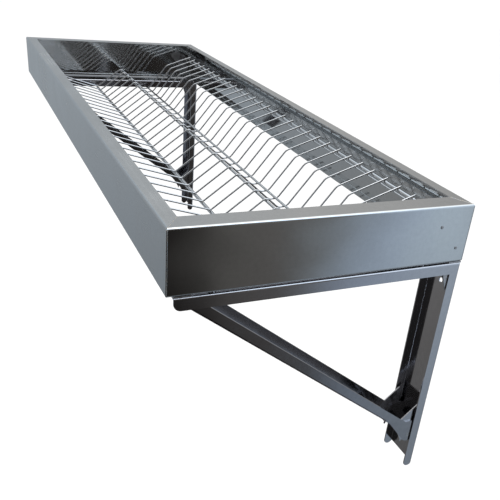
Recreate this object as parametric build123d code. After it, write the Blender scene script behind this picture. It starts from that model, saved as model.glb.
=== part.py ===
from build123d import *
import math
import os

# Wall mounted fold down drying rack, in millimetres.
# X runs along the wall, -Y points into the room, +Z is up. The wall is the plane Y = 0.
# The origin is the centre of the four wall screw holes, on the wall.
# Places in the Y-Z plane are given as (out, drop): out from the wall, and down from the tray's top.

# Tray: four folded sheet panels with mitred corners
tray_length = 1150.0
tray_depth = 400.0
tray_height = 80.0
tray_sheet = 1.5
end_flange = 30.0
front_flange = 20.0
rear_flange = 18.5
bottom_flange = 15.0
panel_bend = 3.0
mitre_gap = 0.1

# Wall brackets: U channels, one post, one arm and one strut each
bracket_sheet = 1.8
channel_bend = 2.6
post_width = 57.1
arm_width = 57.5
strut_width = 52.8
flange_depth = 15.0
strut_depth = 14.4
arm_height = 16.0
arm_gap = 2.0
arm_reach = 391.0
arm_nose_radius = 9.0
bracket_mitre_gap = 0.3
post_height = 348.0
post_toe = 6.0
pad_length = 20.0
pad_width = 40.0

# Wall screw holes in the post webs
screw_hole_radius = 3.5
screw_spacing = 266.0
screw_drop = 122.0

# Hinge between post and arm
hinge_out = 15.5
hinge_drop = 98.5
hinge_rod_radius = 3.0
hinge_lug_radius = 8.0
lug_gap = 0.2
running_clearance = 0.05

# Strut: its top pivot, the pin at its foot, and the slotted clevis that the pin drops out of
strut_top_out = 370.0
strut_top_drop = 91.5
strut_foot_out = 18.0
strut_foot_drop = 372.0
pin_radius = 4.0
foot_lug_radius = 12.3
web_cutback = 62.0
gusset_reach = 43.0
gusset_weld_gap = 0.1
clevis_gap = 0.3
clevis_reach = 29.0
slot_half_width = 4.75
slot_lean = 16.9
foot_nut_flats = 13.0
foot_nut_height = 4.9

# Screws that fix the tray to the arms
tray_screw_radius = 2.5
tray_screw_outs = (60.0, 345.0)
tray_screw_inset = 8.0
tray_nut_flats = 8.0
tray_nut_height = 4.0
spacer_radius = 4.2

# Wire rack: bent cross wires welded to rods and bars that run along X
wire_count = 30
wire_radius = 1.3
weld_sink = 0.3
first_wire = 61.0
rear_bar_radius = 4.0
front_bar_radius = 3.0
shelf_rod_radius = 1.5
rod_radius = 1.9
valley_rod_radius = 2.8
bar_half_length = 541.0
rod_half_length = 516.5
# Centre line of each cross wire, from the wall side to the room side, and the radius of each bend
wire_route = [(20.8, 22.0), (83.0, 44.0), (127.0, 100.3), (143.0, 100.3), (196.0, 55.0), (252.0, 97.5), (377.0, 61.0)]
wire_bend_radii = [14.0, 14.0, 13.0, 8.0, 8.0]

# Cradles that hold the two end bars of the rack, on the inside of the end panels
cradle_inner = 534.0
cradle_play = 0.25
cradle_lip = 6.0
cradle_sheet = 1.5
rivet_radius = 1.5
rivet_head_radius = 2.2
rivet_head = 0.6
rivet_points = [(46.0, 28.0), (16.0, 59.0)]

half_length = tray_length / 2
bracket_x = half_length - arm_width / 2
tray_top = screw_spacing / 2 + screw_drop
arm_top = tray_height + arm_gap
arm_bottom = arm_top + arm_height
web_under = arm_top + bracket_sheet
post_bottom = arm_top + post_height
post_inner = post_width / 2 - bracket_sheet
arm_inner = arm_width / 2 - bracket_sheet
strut_inner = strut_width / 2 - bracket_sheet
rod_seat = wire_radius - weld_sink
pivot_reach = arm_inner + bracket_sheet / 2


def at(out, drop):
    """The Y and Z of a point given as (out, drop)."""
    return (-out, tray_top - drop)


def outline(*points):
    """A flat face with the given (out, drop) corners, as Y and Z."""
    return make_face(Polyline(*[at(*point) for point in points], close=True))


def disc(out, drop, radius):
    return Pos(*at(out, drop)) * Circle(radius)


def side_plate(face, x_low, x_high):
    """The face, drawn in Y and Z, made solid between two X positions."""
    return Pos(x_low, 0, 0) * extrude(Plane.YZ * face, amount=x_high - x_low)


def cross_pin(out, drop, radius, x_low, x_high):
    """A round bar along X."""
    return side_plate(disc(out, drop, radius), x_low, x_high)


def cross_nut(out, drop, flats, x_low, x_high):
    """A hexagon nut body along X."""
    hexagon = Pos(*at(out, drop)) * RegularPolygon(flats / 2, 6, major_radius=False)
    return side_plate(hexagon, x_low, x_high)


def both_sides(maker, x_near, x_far):
    """The same plate on the +X and the -X side of a bracket."""
    return [maker(x_near, x_far), maker(-x_far, -x_near)]


def folded_section(points, bend, sheet):
    """The section of a folded sheet, from its outer line, thickened towards the left of that line."""
    outer = FilletPolyline(*points, radius=bend)
    return make_face(offset(outer, amount=sheet, side=Side.LEFT))


def left_of(part):
    return mirror(part, about=Plane.YZ)


# ---------------------------------------------------------------- tray

def plan_block(*corners):
    """A tall block with the given X-Y outline, used to cut the mitres."""
    face = make_face(Polyline(*corners, close=True))
    return Pos(0, 0, tray_top - 2 * tray_height) * extrude(face, amount=3 * tray_height)


def front_panel():
    front, low = -tray_depth, tray_top - tray_height
    line = [(front + front_flange, tray_top), (front, tray_top), (front, low), (front + bottom_flange, low)]
    section = folded_section(line, panel_bend, tray_sheet)
    corner = half_length - mitre_gap
    inner, edge = corner - end_flange, front + front_flange
    mitres = plan_block((-corner, front), (corner, front), (inner, edge), (-inner, edge))
    return side_plate(section, -half_length, half_length) & mitres


def rear_panel():
    low = tray_top - tray_height
    line = [(-bottom_flange, low), (0, low), (0, tray_top), (-rear_flange, tray_top)]
    section = folded_section(line, panel_bend, tray_sheet)
    corner = half_length - mitre_gap
    inner = corner - end_flange
    mitres = plan_block((-corner, 0), (-inner, -rear_flange), (inner, -rear_flange), (corner, 0))
    return side_plate(section, -half_length, half_length) & mitres


def end_panel():
    """The end panel at +X, with holes for the cradle rivets and the tray screws."""
    low = tray_top - tray_height
    inner = half_length - end_flange
    line = [(half_length - bottom_flange, low), (half_length, low), (half_length, tray_top), (inner, tray_top)]
    section = Plane.XZ * folded_section(line, panel_bend, tray_sheet)
    mitres = plan_block(
        (half_length, mitre_gap - tray_depth),
        (half_length, -mitre_gap),
        (inner, -rear_flange - mitre_gap),
        (inner, mitre_gap - tray_depth + front_flange),
    )
    panel = extrude(section, amount=tray_depth) & mitres
    for out, drop in rivet_points:
        panel -= cross_pin(out, drop, rivet_radius, half_length - 5, half_length + 5)
    for out in tray_screw_outs:
        panel -= tray_bolt_shaft(out, tray_screw_radius, tray_height - 10, tray_height + 5)
    return panel


# ---------------------------------------------------------------- wall brackets

def vertical_pin(x, out, radius, drop_high, drop_low):
    return Pos(x, -out, tray_top - drop_low) * extrude(Circle(radius), amount=drop_low - drop_high)


def tray_bolt_shaft(out, radius, drop_high, drop_low):
    return vertical_pin(half_length - tray_screw_inset, out, radius, drop_high, drop_low)


def post():
    """Wall post of one bracket, centred on X = 0: a channel with its web on the wall."""
    half = post_width / 2
    line = [(half, -flange_depth), (half, 0), (-half, 0), (-half, -flange_depth)]
    section = folded_section(line, channel_bend, bracket_sheet)
    channel = Pos(0, 0, tray_top - post_bottom - post_toe) * extrude(section, amount=post_height + post_toe)
    toe_centre = post_bottom + post_toe - flange_depth / 2
    mitre_top = arm_top + bracket_mitre_gap
    mitre_low = arm_bottom - 1 + bracket_mitre_gap
    flanges = outline((0, mitre_top), (flange_depth, mitre_low), (flange_depth, toe_centre), (0, toe_centre))
    flanges += disc(flange_depth / 2, toe_centre, flange_depth / 2)
    body = channel & side_plate(flanges, -half, half)
    toe_cut = Pos(0, -flange_depth / 2, tray_top - post_bottom - 10)
    body -= toe_cut * Box(2 * post_inner, 2 * flange_depth, 20)
    for drop in (screw_drop, screw_drop + screw_spacing):
        body -= Pos(0, 0, tray_top - drop) * Rot(90, 0, 0) * Cylinder(screw_hole_radius, 20)
    return Pos(bracket_x, 0, 0) * body


def arm():
    """Arm of the +X bracket: a channel that opens downwards, with its web under the tray."""
    half = arm_width / 2
    low, high = tray_top - arm_bottom, tray_top - arm_top
    line = [(half, low), (half, high), (-half, high), (-half, low)]
    section = Plane.XZ * folded_section(line, channel_bend, bracket_sheet)
    channel = extrude(section, amount=arm_reach)
    nose_out, nose_drop = arm_reach - arm_nose_radius, arm_bottom - arm_nose_radius
    side = outline(
        (0, arm_top),
        (flange_depth, arm_bottom - 1),
        (flange_depth, arm_bottom),
        (nose_out, arm_bottom),
        (nose_out, nose_drop),
        (arm_reach, nose_drop),
        (arm_reach, arm_top),
    )
    side += disc(nose_out, nose_drop, arm_nose_radius)
    body = channel & side_plate(side, -half, half)
    body -= cross_pin(strut_top_out, strut_top_drop, pin_radius, -pivot_reach, pivot_reach)
    body = Pos(bracket_x, 0, 0) * body
    for out in tray_screw_outs:
        body -= tray_bolt_shaft(out, tray_screw_radius, arm_top - 5, arm_top + 10)
    return body


def arm_pads():
    """Welded pads that close the gap between tray and arm at both ends of each arm."""
    pads = []
    for out in (pad_length / 2, arm_reach - pad_length / 2):
        place = Pos(half_length - 1 - pad_width / 2, -out, tray_top - tray_height - arm_gap / 2)
        pads.append(place * Box(pad_width, pad_length, arm_gap))
    return pads


def screw_spacers():
    return [
        tray_bolt_shaft(out, spacer_radius, tray_height, arm_top)
        - tray_bolt_shaft(out, tray_screw_radius, tray_height - 1, arm_top + 1)
        for out in tray_screw_outs
    ]


def tray_screws():
    """Button head screws, heads inside the tray, ends below the arm's web."""
    screws = []
    for out in tray_screw_outs:
        head_top = tray_height - tray_sheet - 2.6
        shaft = tray_bolt_shaft(out, tray_screw_radius, head_top + 0.5, web_under + tray_nut_height + 1.5)
        head = tray_bolt_shaft(out, 4.4, head_top, tray_height - tray_sheet)
        head = fillet(head.edges().group_by(Axis.Z)[-1], 1.6)
        screws.append(head + shaft)
    return screws


def tray_nuts():
    nuts = []
    for out in tray_screw_outs:
        hexagon = extrude(RegularPolygon(tray_nut_flats / 2, 6, major_radius=False), amount=-tray_nut_height)
        nut = Pos(half_length - tray_screw_inset, -out, tray_top - web_under) * hexagon
        nuts.append(nut - tray_bolt_shaft(out, tray_screw_radius, web_under - 1, web_under + tray_nut_height + 1))
    return nuts


def post_lugs():
    """Hinge ears welded inside the post's flanges, standing up to the hinge line."""
    foot = [(2.5, 104), (flange_depth - 1, 104), (flange_depth - 1, 126), (2.5, 126)]
    ear = make_hull(outline(*foot).edges() + disc(hinge_out, hinge_drop, hinge_lug_radius).edges())
    ear -= disc(hinge_out, hinge_drop, hinge_rod_radius + running_clearance)
    inner = post_inner - bracket_sheet
    return both_sides(lambda low, high: side_plate(ear, low, high), inner, post_inner)


def arm_lugs():
    """Hinge ears welded under the arm's web, reaching back to the hinge line."""
    root = [(22, web_under), (46, web_under), (46, web_under + 2), (22, web_under + 2)]
    ear = make_hull(outline(*root).edges() + disc(hinge_out, hinge_drop, hinge_lug_radius).edges())
    ear -= disc(hinge_out, hinge_drop, hinge_rod_radius)
    outer = post_inner - bracket_sheet - lug_gap
    return both_sides(lambda low, high: side_plate(ear, low, high), outer - bracket_sheet, outer)


def hinge_rod():
    reach = post_inner - 0.1
    return cross_pin(hinge_out, hinge_drop, hinge_rod_radius, -reach, reach)


def strut_pivot_pin():
    """The pin sits in blind seats in the arm's flanges, so it doesn't show from outside."""
    return cross_pin(strut_top_out, strut_top_drop, pin_radius, -pivot_reach, pivot_reach)


# ---------------------------------------------------------------- strut and its foot

# The foot pin sits a little below the strut's middle line
foot_offset = 6.6
strut_top = Vector(*at(strut_top_out, strut_top_drop))
strut_foot = Vector(*at(strut_foot_out, strut_foot_drop))
strut_chord = strut_foot - strut_top
strut_span = math.sqrt(strut_chord.length**2 - foot_offset**2)
strut_angle = math.degrees(math.atan2(strut_chord.Y, strut_chord.X) + math.atan2(foot_offset, strut_span))
# Along the strut from its top pivot (local X), with local Y towards its open upper side
strut_side = Pos(*strut_top) * Rot(0, 0, strut_angle)


def strut():
    """Strut channel: web on its lower side, cut back at the foot, where the flanges widen into lugs."""
    half, deep = strut_width / 2, strut_depth / 2
    web_end = strut_span - web_cutback
    along = (0, math.cos(math.radians(strut_angle)), math.sin(math.radians(strut_angle)))
    line = [(half, -deep), (half, deep), (-half, deep), (-half, -deep)]
    section_plane = Plane(origin=(0, strut_top.X, strut_top.Y), x_dir=(1, 0, 0), z_dir=along)
    section = section_plane * folded_section(line, channel_bend, bracket_sheet)
    channel = extrude(section, amount=web_end) + extrude(section, amount=-deep)
    rounded = strut_side * (Pos(web_end / 2, 0) * Rectangle(web_end, 2 * deep) + Circle(deep))
    body = channel & side_plate(rounded, -half, half)
    neck = Pos(strut_span - 30, 0) * Rectangle(40, 2 * deep)
    lug = Pos(strut_span, -foot_offset) * Circle(foot_lug_radius)
    flange = Pos(web_end + 6, 0) * Rectangle(12, 2 * deep)
    flange = strut_side * (flange + make_hull(neck.edges() + lug.edges()))
    flange += outline((33, 346), (8, 346), (7, 372), (18, 372))
    for cheek in both_sides(lambda low, high: side_plate(flange, low, high), strut_inner, half):
        body += cheek
    body -= cross_pin(strut_foot_out, strut_foot_drop, pin_radius, -half, half)
    body -= cross_pin(strut_top_out, strut_top_drop, pin_radius + running_clearance, -half, half)
    return Pos(bracket_x, 0, 0) * body


def strut_gussets():
    """Stiffening plates inside the strut's flanges, rising above its foot towards the post."""
    plate = outline((6, 314), (gusset_reach, 347), (gusset_reach + 2, 352), (30, 381), (18, 384), (8, 379))
    plate -= disc(strut_foot_out, strut_foot_drop, pin_radius)
    outer = strut_inner - gusset_weld_gap
    plates = both_sides(lambda low, high: side_plate(plate, low, high), outer - bracket_sheet, outer)
    return [Pos(bracket_x, 0, 0) * part for part in plates]


# X distance, from the bracket's middle, of the outer face of the clevis cheeks
clevis_outer = strut_inner - gusset_weld_gap - bracket_sheet - clevis_gap


def foot_clevises():
    """Hook plates welded to the post's web, with slots open at the bottom for the strut's studs."""
    plate = outline((bracket_sheet, 348), (22, 348), (clevis_reach, 358), (clevis_reach, 386), (bracket_sheet, 386))
    slot = Circle(slot_half_width) + Pos(0, -20) * Rectangle(2 * slot_half_width, 40)
    plate -= Pos(*at(strut_foot_out, strut_foot_drop)) * Rot(0, 0, -slot_lean) * slot
    plates = both_sides(lambda low, high: side_plate(plate, low, high), clevis_outer - bracket_sheet, clevis_outer)
    return [Pos(bracket_x, 0, 0) * part for part in plates]


def foot_nut_faces():
    """The two X distances, from the bracket's middle, between which a foot nut sits."""
    outer = clevis_outer - bracket_sheet - clevis_gap
    return outer - foot_nut_height, outer


def foot_studs():
    """Studs flush in the strut's lugs, pointing inwards through the clevis slots."""
    nut_inner = foot_nut_faces()[0]
    studs = both_sides(
        lambda low, high: cross_pin(strut_foot_out, strut_foot_drop, pin_radius, low, high),
        nut_inner - 1.5,
        strut_width / 2 - 0.1,
    )
    return [Pos(bracket_x, 0, 0) * stud for stud in studs]


def foot_nuts():
    def nut(low, high):
        body = cross_nut(strut_foot_out, strut_foot_drop, foot_nut_flats, low, high)
        return body - cross_pin(strut_foot_out, strut_foot_drop, pin_radius, low, high)

    return [Pos(bracket_x, 0, 0) * part for part in both_sides(nut, *foot_nut_faces())]


# ---------------------------------------------------------------- wire rack

def cross_wires():
    """The row of bent wires, each in its own plane across the tray."""
    path = FilletPolyline(*[(0, *at(*point)) for point in wire_route], radius=wire_bend_radii)
    start = Plane(origin=path @ 0, z_dir=path % 0)
    wire = sweep(start * Circle(wire_radius), path=path)
    reach = half_length - first_wire
    pitch = 2 * reach / (wire_count - 1)
    return [Pos(-reach + i * pitch, 0, 0) * wire for i in range(wire_count)]


def beside_wire(leg, fraction, radius, side):
    """The (out, drop) of a bar that rests on one straight leg of the wires: side 1 below it, -1 above it."""
    (out_a, drop_a), (out_b, drop_b) = wire_route[leg], wire_route[leg + 1]
    length = math.hypot(out_b - out_a, drop_b - drop_a)
    reach = side * (radius + rod_seat)
    out = out_a + fraction * (out_b - out_a) - reach * (drop_b - drop_a) / length
    drop = drop_a + fraction * (drop_b - drop_a) + reach * (out_b - out_a) / length
    return out, drop


def rod(leg, fraction, radius, side, half_span):
    return cross_pin(*beside_wire(leg, fraction, radius, side), radius, -half_span, half_span)


def rod_under_bend(corner, drop, radius):
    """A rod under one corner of the wires, where the wires' middle line is at the given drop."""
    out = wire_route[corner][0]
    return cross_pin(out, drop + radius + rod_seat, radius, -rod_half_length, rod_half_length)


def bend_drop(corner, bend, side):
    """How far down a rounded corner of the wires is: side 1 for a ridge, -1 for a valley."""
    before, here, after = (Vector(*wire_route[corner + i]) for i in (-1, 0, 1))
    turn = (here - before).get_angle(after - here)
    return here.Y + side * bend * (1 / math.cos(math.radians(turn / 2)) - 1)


rear_bar_place = beside_wire(0, 0.075, rear_bar_radius, 1)
front_bar_place = beside_wire(5, 0.985, front_bar_radius, 1)


def cradle(place, radius, end_plate):
    """A saddle open at the top, with a plate against the end panel."""
    out, drop = place
    inside = radius + cradle_play
    outside = inside + cradle_sheet
    saddle = disc(out, drop, outside) + Pos(*at(out, drop - cradle_lip / 2)) * Rectangle(2 * outside, cradle_lip)
    saddle -= disc(out, drop, inside) + Pos(*at(out, drop - cradle_lip)) * Rectangle(2 * inside, 2 * cradle_lip)
    wall = half_length - tray_sheet
    plate = side_plate(end_plate + disc(out, drop, outside), wall - cradle_sheet, wall)
    return side_plate(saddle, cradle_inner, wall) + plate


def rear_cradle():
    corners = [disc(*point, 7.0).edges() for point in rivet_points]
    plate = make_hull(corners[0] + corners[1] + disc(*rear_bar_place, rear_bar_radius + 2).edges())
    body = cradle(rear_bar_place, rear_bar_radius, plate)
    for out, drop in rivet_points:
        body -= cross_pin(out, drop, rivet_radius, half_length - 10, half_length)
    return body


def front_cradle():
    out, drop = front_bar_place
    plate = outline((out - 12, drop - 7), (out + 6, drop - 7), (out + 6, drop + 7), (out - 12, drop + 7))
    return cradle(front_bar_place, front_bar_radius, plate)


def cradle_rivets():
    rivets = []
    wall = half_length - tray_sheet - cradle_sheet
    for out, drop in rivet_points:
        head = cross_pin(out, drop, rivet_head_radius, half_length, half_length + rivet_head)
        head = fillet(head.edges().group_by(Axis.X)[-1], 0.5)
        rivets.append(head + cross_pin(out, drop, rivet_radius, wall, half_length + 0.2))
    return rivets


# ---------------------------------------------------------------- files

def save(name, *solids):
    solids = [solid for group in solids for solid in (group if isinstance(group, list) else [group])]
    shape = solids[0] if len(solids) == 1 else Compound(children=[Part(s.wrapped) for s in solids])
    shape.label = name
    export_step(shape, f"parts/{name}.step")


def on_both_brackets(parts):
    """Pieces drawn for the +X bracket, with their mirror images for the -X bracket."""
    return parts + [left_of(part) for part in parts]


os.makedirs("parts", exist_ok=True)

save("front_panel", front_panel())
save("rear_panel", rear_panel())
for name, maker in {"end_panel": end_panel, "post": post, "arm": arm, "strut": strut}.items():
    right = maker()
    save(f"{name}_right", right)
    save(f"{name}_left", left_of(right))
for name, maker in {
    "strut_gussets": strut_gussets,
    "foot_clevis": foot_clevises,
    "foot_studs": foot_studs,
    "foot_nuts": foot_nuts,
}.items():
    right = maker()
    save(f"{name}_right", right)
    save(f"{name}_left", [left_of(part) for part in right])

save("arm_pads", on_both_brackets(arm_pads()))
save("screw_spacers", on_both_brackets(screw_spacers()))
save("tray_screws", on_both_brackets(tray_screws()))
save("tray_nuts", on_both_brackets(tray_nuts()))
save("post_hinge_lugs", on_both_brackets([Pos(bracket_x, 0, 0) * lug for lug in post_lugs()]))
save("arm_hinge_lugs", on_both_brackets([Pos(bracket_x, 0, 0) * lug for lug in arm_lugs()]))
save("hinge_rods", on_both_brackets([Pos(bracket_x, 0, 0) * hinge_rod()]))
save("strut_pivot_pins", on_both_brackets([Pos(bracket_x, 0, 0) * strut_pivot_pin()]))

save("rack_wires", cross_wires())
save("rear_bar", cross_pin(*rear_bar_place, rear_bar_radius, -bar_half_length, bar_half_length))
save("front_bar", cross_pin(*front_bar_place, front_bar_radius, -bar_half_length, bar_half_length))
save("shelf_rod", rod(0, 0.21, shelf_rod_radius, 1, rod_half_length))
save("trough_rod", rod(2, 0.3, rod_radius, -1, rod_half_length))
save("ridge_rod", rod_under_bend(4, bend_drop(4, wire_bend_radii[3], 1), rod_radius))
save("valley_rod", rod_under_bend(5, bend_drop(5, wire_bend_radii[4], -1), valley_rod_radius))
save("rear_cradles", on_both_brackets([rear_cradle()]))
save("front_cradles", on_both_brackets([front_cradle()]))
save("cradle_rivets", on_both_brackets(cradle_rivets()))
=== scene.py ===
import math

import bmesh
import bpy
from mathutils import Matrix, Vector


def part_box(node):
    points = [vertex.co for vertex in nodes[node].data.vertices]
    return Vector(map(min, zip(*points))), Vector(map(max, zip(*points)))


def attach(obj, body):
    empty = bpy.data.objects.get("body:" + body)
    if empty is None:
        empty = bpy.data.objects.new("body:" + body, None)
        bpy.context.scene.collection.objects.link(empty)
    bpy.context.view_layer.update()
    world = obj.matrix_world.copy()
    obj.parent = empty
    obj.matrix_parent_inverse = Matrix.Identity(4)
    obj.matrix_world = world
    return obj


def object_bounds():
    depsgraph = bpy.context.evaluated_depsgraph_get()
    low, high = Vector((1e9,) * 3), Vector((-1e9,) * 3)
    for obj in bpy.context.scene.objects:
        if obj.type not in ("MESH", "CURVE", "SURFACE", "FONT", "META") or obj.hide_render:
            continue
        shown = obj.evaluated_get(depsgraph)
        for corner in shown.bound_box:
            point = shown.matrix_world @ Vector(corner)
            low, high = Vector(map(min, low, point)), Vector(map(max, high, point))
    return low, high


# Looks of the wall mounted fold down drying rack, in metres, in the CAD frame:
# +X along the wall, -Y into the room, +Z up, origin at the centre of the wall screw holes.

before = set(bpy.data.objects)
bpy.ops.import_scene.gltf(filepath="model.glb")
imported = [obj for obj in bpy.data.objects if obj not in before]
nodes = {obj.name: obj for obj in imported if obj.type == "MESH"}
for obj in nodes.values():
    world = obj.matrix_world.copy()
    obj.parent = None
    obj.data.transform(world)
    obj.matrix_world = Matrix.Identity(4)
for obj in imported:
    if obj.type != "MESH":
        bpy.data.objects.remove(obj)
cad_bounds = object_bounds()


# ---------------------------------------------------------------- node helpers

# A noise texture seldom leaves this range, so ramps and ranges are read across it
NOISE_LOW = 0.3
NOISE_HIGH = 0.7


class Shader:
    """A node tree, with short calls for the nodes used here."""

    def __init__(self, tree):
        self.tree = tree

    def node(self, kind, **settings):
        made = self.tree.nodes.new(kind)
        for key, value in settings.items():
            setattr(made, key, value)
        return made

    def feed(self, source, target):
        """Link an output to an input, or set the input to a plain number."""
        if isinstance(source, float):
            target.default_value = source
        else:
            self.tree.links.new(source, target)

    def place(self, scale):
        """Object coordinates, stretched by scale."""
        coords = self.node("ShaderNodeTexCoord")
        mapping = self.node("ShaderNodeMapping")
        mapping.inputs["Scale"].default_value = scale
        self.feed(coords.outputs["Object"], mapping.inputs["Vector"])
        return mapping.outputs["Vector"]

    def noise_at(self, vector, size, detail, roughness=0.5, distortion=0.0):
        made = self.node("ShaderNodeTexNoise")
        made.inputs["Scale"].default_value = size
        made.inputs["Detail"].default_value = detail
        made.inputs["Roughness"].default_value = roughness
        made.inputs["Distortion"].default_value = distortion
        self.feed(vector, made.inputs["Vector"])
        return made.outputs["Fac"]

    def noise(self, scale, detail=3.0, roughness=0.5, distortion=0.0):
        """Noise on the object's own coordinates, with scale cells to the metre along each axis."""
        return self.noise_at(self.place(scale), 1.0, detail, roughness, distortion)

    def ramp(self, source, stops):
        """A colour ramp through (position, colour) stops."""
        made = self.node("ShaderNodeValToRGB")
        points = made.color_ramp.elements
        while len(points) < len(stops):
            points.new(0.5)
        for point, (position, colour) in zip(points, stops):
            point.position = position
            point.color = (*colour, 1.0)
        self.feed(source, made.inputs["Fac"])
        return made.outputs["Color"]

    def noise_ramp(self, source, low_colour, high_colour):
        return self.ramp(source, [(NOISE_LOW, low_colour), (NOISE_HIGH, high_colour)])

    def range(self, source, low, high, source_low=NOISE_LOW, source_high=NOISE_HIGH):
        made = self.node("ShaderNodeMapRange")
        made.inputs["From Min"].default_value = source_low
        made.inputs["From Max"].default_value = source_high
        made.inputs["To Min"].default_value = low
        made.inputs["To Max"].default_value = high
        self.feed(source, made.inputs["Value"])
        return made.outputs["Result"]

    def maths(self, operation, first, second):
        made = self.node("ShaderNodeMath", operation=operation)
        self.feed(first, made.inputs[0])
        self.feed(second, made.inputs[1])
        return made.outputs["Value"]

    def mix(self, factor, first, second, blend="MIX"):
        made = self.node("ShaderNodeMix", data_type="RGBA", blend_type=blend)
        self.feed(factor, made.inputs["Factor"])
        self.feed(first, made.inputs["A"])
        self.feed(second, made.inputs["B"])
        return made.outputs["Result"]

    def bump(self, height, distance, strength=1.0, below=None):
        made = self.node("ShaderNodeBump")
        made.inputs["Distance"].default_value = distance
        made.inputs["Strength"].default_value = strength
        self.feed(height, made.inputs["Height"])
        if below is not None:
            self.feed(below, made.inputs["Normal"])
        return made.outputs["Normal"]


class MaterialShader(Shader):
    """The node tree of a new material."""

    def __init__(self, name, metallic=0.0):
        self.material = bpy.data.materials.new(name)
        self.material.use_nodes = True
        super().__init__(self.material.node_tree)
        self.surface = self.tree.nodes["Principled BSDF"].inputs
        self.surface["Metallic"].default_value = metallic


def even(scale):
    """The same scale along all three axes."""
    return (scale, scale, scale)


def grey(level):
    return (level, level, level)


def tinted(colour, amount):
    return tuple(max(0.0, channel + amount) for channel in colour)


# ---------------------------------------------------------------- finishes

# Noise cells to the metre: long along the brushing, fine across it
ALONG_X = (2.5, 700.0, 700.0)
ALONG_Y = (700.0, 2.5, 700.0)
ALONG_Z = (700.0, 700.0, 2.5)
ALONG_SLOPE = (40.0, 220.0, 220.0)

SMUDGE_SCALE = 9.0
GRIT_SCALE = 160.0
WAVE_SCALE = 5.0

STREAK = 0.02  # how far the brushing is from the sheet's colour
EDGE_START, EDGE_FULL = 0.52, 0.60  # pointiness of an edge where the wear starts and is full
EDGE_WEAR = 0.5
WORN_LOW, WORN_HIGH = 0.12, 0.2  # how much paler a worn edge is

SHEET = (0.58, 0.60, 0.61)
CHANNEL = (0.482, 0.486, 0.516)
# The strut colour is the channel colour times 0.72: painted shade on the struts, which are the same steel
# as the arms and posts
SHADED_STRUT = (0.347, 0.350, 0.372)
WIRE = (0.68, 0.69, 0.70)
CUT = (0.5, 0.5, 0.51)
FIXING = (0.46, 0.46, 0.47)


def steel(name, colour, roughness, grain, wave=0.0, smudge=0.06, grain_depth=0.00001):
    """Stainless steel: brushed along one axis, with smudges, faint waviness and brighter worn edges."""
    shader = MaterialShader(name, metallic=1.0)
    brushing = shader.noise(grain, detail=4.0, roughness=0.65)
    clouds = shader.noise(even(SMUDGE_SCALE), detail=4.0, roughness=0.55, distortion=0.6)
    fine = shader.noise(even(GRIT_SCALE))
    streaks = shader.noise_ramp(brushing, tinted(colour, -STREAK), tinted(colour, STREAK))
    smudges = shader.noise_ramp(clouds, tinted(colour, -smudge), tinted(colour, smudge * 0.6))
    base = shader.mix(shader.range(fine, 0.4, 0.6), streaks, smudges)
    pointiness = shader.node("ShaderNodeNewGeometry").outputs["Pointiness"]
    edge = shader.range(pointiness, 0.0, EDGE_WEAR, EDGE_START, EDGE_FULL)
    worn = shader.noise_ramp(fine, tinted(colour, WORN_LOW), tinted(colour, WORN_HIGH))
    shader.feed(shader.mix(edge, base, worn), shader.surface["Base Color"])
    patches = shader.range(clouds, roughness * 0.75, roughness * 1.3)
    scratches = shader.range(brushing, 0.85, 1.15)
    shader.feed(shader.maths("MULTIPLY", patches, scratches), shader.surface["Roughness"])
    normal = shader.bump(brushing, grain_depth, 0.6)
    if wave:
        buckle = shader.noise(even(WAVE_SCALE), detail=1.5, distortion=0.4)
        normal = shader.bump(buckle, wave, below=normal)
    shader.feed(normal, shader.surface["Normal"])
    return shader.material


def black_steel(name):
    """Black oxide nut: dark, slightly oily, with a faint paler mottle."""
    shader = MaterialShader(name, metallic=0.6)
    mottle = shader.noise(even(400.0), detail=4.0)
    colours = [(NOISE_LOW, (0.012, 0.012, 0.014)), (0.75, (0.035, 0.034, 0.036))]
    shader.feed(shader.ramp(mottle, colours), shader.surface["Base Color"])
    shader.feed(shader.range(mottle, 0.3, 0.5), shader.surface["Roughness"])
    shader.feed(shader.bump(mottle, 0.00003), shader.surface["Normal"])
    return shader.material


def weld_steel(name):
    """Weld metal, with a faint straw and blue heat tint."""
    shader = MaterialShader(name, metallic=1.0)
    tint = shader.noise(even(240.0), detail=2.0)
    blue, bare, straw = (0.50, 0.53, 0.60), (0.62, 0.62, 0.61), (0.66, 0.60, 0.50)
    colours = [(NOISE_LOW, blue), (0.5, bare), (NOISE_HIGH, straw)]
    shader.feed(shader.ramp(tint, colours), shader.surface["Base Color"])
    shader.feed(shader.range(tint, 0.2, 0.36), shader.surface["Roughness"])
    shader.feed(shader.bump(tint, 0.00004), shader.surface["Normal"])
    return shader.material


# Depths of the waviness and of the brushing, in metres
WAVE = 0.0004
END_WAVE = 0.0016
BRUSHED = 0.000002
POLISHED = 0.000001

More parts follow.
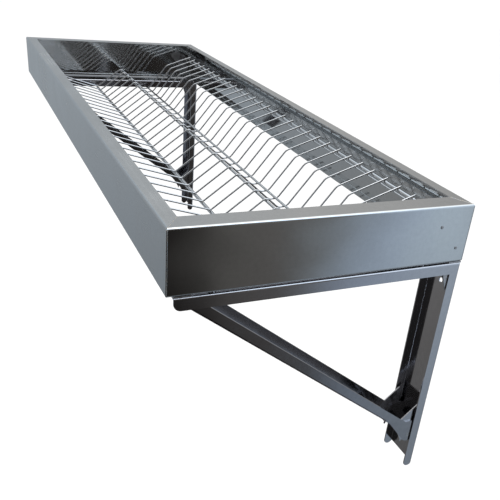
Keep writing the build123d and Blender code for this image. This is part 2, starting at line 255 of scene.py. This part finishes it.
# Each finish: its name, colour, roughness and grain, its other settings, and the nodes that have it
STEEL_FINISHES = [
    ("front_sheet", SHEET, 0.22, ALONG_X,
     {"wave": WAVE, "smudge": 0.02, "grain_depth": BRUSHED}, ["front_panel"]),
    ("rear_sheet", SHEET, 0.07, ALONG_X,
     {"wave": WAVE, "smudge": 0.04, "grain_depth": POLISHED}, ["rear_panel"]),
    ("end_sheet", SHEET, 0.075, ALONG_Y,
     {"wave": END_WAVE, "smudge": 0.05, "grain_depth": POLISHED}, ["end_panel_left", "end_panel_right"]),
    ("arm_steel", CHANNEL, 0.12, ALONG_Y,
     {"wave": WAVE, "grain_depth": BRUSHED}, ["arm_left", "arm_right"]),
    ("post_steel", CHANNEL, 0.10, ALONG_Z,
     {"wave": WAVE, "grain_depth": BRUSHED}, ["post_left", "post_right"]),
    # The struts take the darkened strut colour, a painted shade
    ("shaded_strut_steel", SHADED_STRUT, 0.14, ALONG_SLOPE,
     {"wave": WAVE, "grain_depth": BRUSHED}, ["strut_left", "strut_right"]),
    ("foot_steel", CHANNEL, 0.14, ALONG_SLOPE,
     {"wave": WAVE, "grain_depth": BRUSHED},
     ["strut_gussets_left", "strut_gussets_right", "foot_clevis_left", "foot_clevis_right"]),
    ("cut_steel", CUT, 0.3, even(300.0), {},
     ["arm_pads", "arm_hinge_lugs", "post_hinge_lugs", "screw_spacers", "rear_cradles", "front_cradles"]),
    ("wire_steel", WIRE, 0.12, even(90.0), {"smudge": 0.05}, ["rack_wires"]),
    ("bar_steel", WIRE, 0.12, ALONG_X, {"smudge": 0.05},
     ["rear_bar", "front_bar", "shelf_rod", "trough_rod", "ridge_rod", "valley_rod"]),
    ("fixing_steel", FIXING, 0.28, even(500.0), {},
     ["tray_screws", "tray_nuts", "hinge_rods", "strut_pivot_pins", "cradle_rivets",
      "foot_studs_left", "foot_studs_right"]),
]


def set_finish(finish, members):
    for name in members:
        mesh = nodes[name].data
        mesh.materials.clear()
        mesh.materials.append(finish)


for name, colour, roughness, grain, settings, members in STEEL_FINISHES:
    set_finish(steel(name, colour, roughness, grain, **settings), members)
set_finish(black_steel("black_oxide"), ["foot_nuts_left", "foot_nuts_right"])


# ---------------------------------------------------------------- added pieces

weld_metal = weld_steel("weld_steel")

BEAD_STEP = 0.0012  # distance between the rings of a bead
BEAD_MIN_STEPS = 6
BEAD_SIDES = 10
BEAD_RIPPLE_TURN = 2.2  # radians of ripple from ring to ring


def add_piece(name, mesh_data, body, material):
    """A smooth piece that rides the body and belongs to the material slot."""
    mesh = bpy.data.meshes.new(name)
    mesh_data.to_mesh(mesh)
    mesh_data.free()
    for polygon in mesh.polygons:
        polygon.use_smooth = True
    piece = bpy.data.objects.new(name, mesh)
    bpy.context.scene.collection.objects.link(piece)
    piece.data.materials.append(material)
    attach(piece, body)


def sweep_bead(mesh, start, end, half_width, half_height, ripple):
    """A weld bead from start to end: an elliptical bar, gently rippled."""
    start, end = Vector(start), Vector(end)
    along = (end - start).normalized()
    is_upright = abs(along.z) >= 0.9
    up = Vector((1, 0, 0)) if is_upright else Vector((0, 0, 1))
    side = along.cross(up).normalized()
    up = side.cross(along).normalized()
    count = max(BEAD_MIN_STEPS, int((end - start).length / BEAD_STEP))
    rings = []
    for i in range(count + 1):
        swell = 1.0 + ripple * math.sin(i * BEAD_RIPPLE_TURN)
        centre = start.lerp(end, i / count)
        ring = []
        for k in range(BEAD_SIDES):
            angle = 2 * math.pi * k / BEAD_SIDES
            across = side * (math.cos(angle) * half_width * swell)
            rise = up * (math.sin(angle) * half_height * swell)
            ring.append(mesh.verts.new(centre + across + rise))
        rings.append(ring)
    for first, second in zip(rings, rings[1:]):
        for k in range(BEAD_SIDES):
            after = (k + 1) % BEAD_SIDES
            mesh.faces.new((first[k], first[after], second[after], second[k]))
    mesh.faces.new(rings[0][::-1])
    mesh.faces.new(rings[-1])


def make_corner_welds():
    """Ground weld seams along the four mitres and the four upright corners of the tray."""
    seam_half_width, seam_half_height, seam_ripple = 0.0007, 0.00022, 0.08
    corner_radius, corner_ripple = 0.00105, 0.03
    corner_inset = 0.0009  # the corner bead's middle, in from the outer faces
    corner_stop = 0.002  # the corner bead's ends, in from the tray's top and bottom
    seam_sink = 0.00008  # the seam's middle, below the top flange
    seam_start_x, seam_start_y = 0.002, 0.0013  # in from the tray's corner
    seam_past_x, seam_past_y = 0.0003, 0.0002  # in from the flange's inner edges
    mesh = bmesh.new()
    front_low, front_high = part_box("front_panel")
    rear_low, rear_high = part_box("rear_panel")
    end_low, end_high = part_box("end_panel_right")
    top, bottom = end_high.z, end_low.z
    outer_x, inner_x = end_high.x, end_low.x
    seam_z = top - seam_sink
    for side in (-1, 1):
        for outer_y, inner_y in ((front_low.y, front_high.y), (rear_high.y, rear_low.y)):
            inward = 1 if inner_y > outer_y else -1
            start = (side * (outer_x - seam_start_x), outer_y + inward * seam_start_y, seam_z)
            end = (side * (inner_x + seam_past_x), inner_y - inward * seam_past_y, seam_z)
            sweep_bead(mesh, start, end, seam_half_width, seam_half_height, seam_ripple)
            corner = (side * (outer_x - corner_inset), outer_y + inward * corner_inset)
            foot, head = (*corner, bottom + corner_stop), (*corner, top - corner_stop)
            sweep_bead(mesh, foot, head, corner_radius, corner_radius, corner_ripple)
    bmesh.ops.recalc_face_normals(mesh, faces=mesh.faces)
    add_piece("tray_corner_welds", mesh, "tray", weld_metal)


def make_rack_welds():
    """A small weld nugget wherever a cross wire meets a rod or bar."""
    wire_radius = 0.0013
    wire_count = 30
    nugget_half_size = (0.0021, 0.0015, 0.0011)
    largest_lean = 0.3  # radians
    lean_turn, lean_phase = 5.1, 9000  # make the lean uneven from wire to wire and bar to bar
    # Each bar, and the direction from it to the wires, as Y and Z
    bars = {
        "rear_bar": (-0.333, 0.943),
        "shelf_rod": (-0.333, 0.943),
        "trough_rod": (0.0, -1.0),
        "ridge_rod": (0.0, 1.0),
        "valley_rod": (0.0, 1.0),
        "front_bar": (0.28, 0.96),
    }
    size = Matrix.Diagonal((*nugget_half_size, 1.0))
    wires_low, wires_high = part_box("rack_wires")
    first, last = wires_low.x + wire_radius, wires_high.x - wire_radius
    mesh = bmesh.new()
    for name, (toward_y, toward_z) in bars.items():
        low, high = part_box(name)
        radius = (high.z - low.z) / 2
        y, z = (low.y + high.y) / 2 + toward_y * radius, (low.z + high.z) / 2 + toward_z * radius
        for i in range(wire_count):
            x = first + (last - first) * i / (wire_count - 1)
            angle = largest_lean * math.sin(lean_turn * i + radius * lean_phase)
            lean = Matrix.Rotation(angle, 4, "Z")
            spot = Matrix.Translation((x, y, z))
            bmesh.ops.create_icosphere(mesh, subdivisions=2, radius=1.0, matrix=spot @ lean @ size)
    add_piece("rack_welds", mesh, "rack", weld_metal)


make_corner_welds()
make_rack_welds()


# ---------------------------------------------------------------- stage, light and camera

FLOOR_REACH = 12.0
FLOOR_DROP = 0.6  # below the feet of the posts

# What the steel reflects at each bearing, in degrees from +X toward +Y: red, green and blue
REFLECTED_SIDES = [
    (-179, 0.32, 0.355, 0.385),
    (-160, 0.36, 0.40, 0.44),
    (-135, 0.25, 0.24, 0.228),
    (-90, 0.30, 0.30, 0.31),
    (-60, 0.05, 0.048, 0.047),
    (15, 0.018, 0.016, 0.015),
    (19.5, 0.060, 0.056, 0.053),
    (22, 0.135, 0.128, 0.121),
    (28.5, 0.155, 0.146, 0.140),
    (31.0, 0.17, 0.17, 0.17),
    (33.0, 0.26, 0.28, 0.30),
    (34.6, 0.36, 0.42, 0.50),
    (37.3, 0.49, 0.58, 0.71),
    (42.0, 0.60, 0.70, 0.80),
    (45, 0.50, 0.57, 0.65),
    (110, 0.42, 0.42, 0.42),
    (137, 0.34, 0.335, 0.33),
    (149, 0.41, 0.405, 0.40),
    (179, 0.33, 0.36, 0.385),
]

# How bright that is from straight down, at 0, to straight up, at 1
REFLECTED_RISE = [
    (0.0, grey(0.08)),
    (0.18, grey(0.11)),
    (0.3, grey(0.17)),
    (0.4, grey(0.22)),
    (0.6, (0.25, 0.247, 0.242)),
    (0.72, (0.29, 0.285, 0.28)),
    (0.88, grey(0.7)),
    (1.0, grey(1.0)),
]

REFLECTED_GAIN = 4.5
RIPPLE = 0.007  # how far the bearings waver, as a share of a full turn
WHITE_STRENGTH = 1.12

SOFTBOX_PLACE = (0.0, -0.3, 2.6)
SOFTBOX_TARGET = (0.0, -0.2, 0.2)
SOFTBOX_SIZE = (2.4, 1.4)
SOFTBOX_WATTS = 8.0

CAMERA_PLACE = (1.17086, -0.57724, 0.5222)
CAMERA_RIGHT = (0.443664, 0.889104, 0.112502)
CAMERA_UP = (-0.468419, 0.123037, 0.874898)
CAMERA_BACK = (0.764033, -0.440859, 0.47106)
CAMERA_LENS = 47.44
CAMERA_SENSOR = 36.0
CAMERA_SHIFT = (-0.1065, 0.0923)


def make_floor():
    """A plain pale floor, which the steel doesn't reflect."""
    height = cad_bounds[0][2] - FLOOR_DROP
    signs = ((-1, -1), (1, -1), (1, 1), (-1, 1))
    corners = [(x * FLOOR_REACH, y * FLOOR_REACH, height) for x, y in signs]
    floor_mesh = bpy.data.meshes.new("floor")
    floor_mesh.from_pydata(corners, [], [(0, 1, 2, 3)])
    floor = bpy.data.objects.new("floor", floor_mesh)
    bpy.context.scene.collection.objects.link(floor)
    shader = MaterialShader("pale_floor")
    tone = shader.noise(even(0.6), detail=2.0)
    shader.feed(shader.noise_ramp(tone, grey(0.93), grey(0.95)), shader.surface["Base Color"])
    shader.surface["Roughness"].default_value = 0.9
    floor.data.materials.append(shader.material)
    floor.visible_glossy = False


def make_world():
    """White for the background, and a soft studio of grey gradients for what the steel reflects."""
    world = bpy.data.worlds.new("studio")
    bpy.context.scene.world = world
    world.use_nodes = True
    world.node_tree.nodes.clear()
    shader = Shader(world.node_tree)
    direction = shader.node("ShaderNodeTexCoord").outputs["Generated"]
    axes = shader.node("ShaderNodeSeparateXYZ")
    shader.feed(direction, axes.inputs["Vector"])
    bearing = shader.maths("ARCTAN2", axes.outputs["Y"], axes.outputs["X"])
    turn = shader.range(bearing, 0.0, 1.0, -math.pi, math.pi)
    shift = shader.range(shader.noise_at(direction, 5.0, 2.0), -RIPPLE, RIPPLE)
    side_stops = [((degrees + 180) / 360, colour) for degrees, *colour in REFLECTED_SIDES]
    sides = shader.ramp(shader.maths("ADD", turn, shift), side_stops)
    height = shader.range(axes.outputs["Z"], 0.0, 1.0, -1.0, 1.0)
    gain = shader.maths("MULTIPLY", shader.ramp(height, REFLECTED_RISE), REFLECTED_GAIN)
    reflected = shader.node("ShaderNodeBackground")
    shader.feed(shader.mix(1.0, sides, gain, blend="MULTIPLY"), reflected.inputs["Color"])
    white = shader.node("ShaderNodeBackground")
    white.inputs["Color"].default_value = (*grey(1.0), 1.0)
    white.inputs["Strength"].default_value = WHITE_STRENGTH
    chosen = shader.node("ShaderNodeMixShader")
    is_glossy = shader.node("ShaderNodeLightPath").outputs["Is Glossy Ray"]
    shader.feed(is_glossy, chosen.inputs["Fac"])
    shader.feed(white.outputs["Background"], chosen.inputs[1])
    shader.feed(reflected.outputs["Background"], chosen.inputs[2])
    output = shader.node("ShaderNodeOutputWorld")
    shader.feed(chosen.outputs["Shader"], output.inputs["Surface"])


def make_light():
    """One broad softbox overhead."""
    data = bpy.data.lights.new("overhead_softbox", "AREA")
    data.shape = "RECTANGLE"
    data.size, data.size_y = SOFTBOX_SIZE
    data.energy = SOFTBOX_WATTS
    light = bpy.data.objects.new("overhead_softbox", data)
    light.location = SOFTBOX_PLACE
    aim = (Vector(SOFTBOX_TARGET) - Vector(SOFTBOX_PLACE)).to_track_quat("-Z", "Y")
    light.rotation_euler = aim.to_euler()
    bpy.context.scene.collection.objects.link(light)


def make_camera():
    data = bpy.data.cameras.new("camera")
    data.lens = CAMERA_LENS
    data.sensor_width = CAMERA_SENSOR
    data.shift_x, data.shift_y = CAMERA_SHIFT
    camera = bpy.data.objects.new("camera", data)
    axes = Matrix((CAMERA_RIGHT, CAMERA_UP, CAMERA_BACK)).transposed().to_4x4()
    camera.matrix_world = Matrix.Translation(CAMERA_PLACE) @ axes
    bpy.context.scene.collection.objects.link(camera)
    bpy.context.scene.camera = camera


make_floor()
make_world()
make_light()
make_camera()
bpy.context.scene.view_settings.view_transform = "Standard"
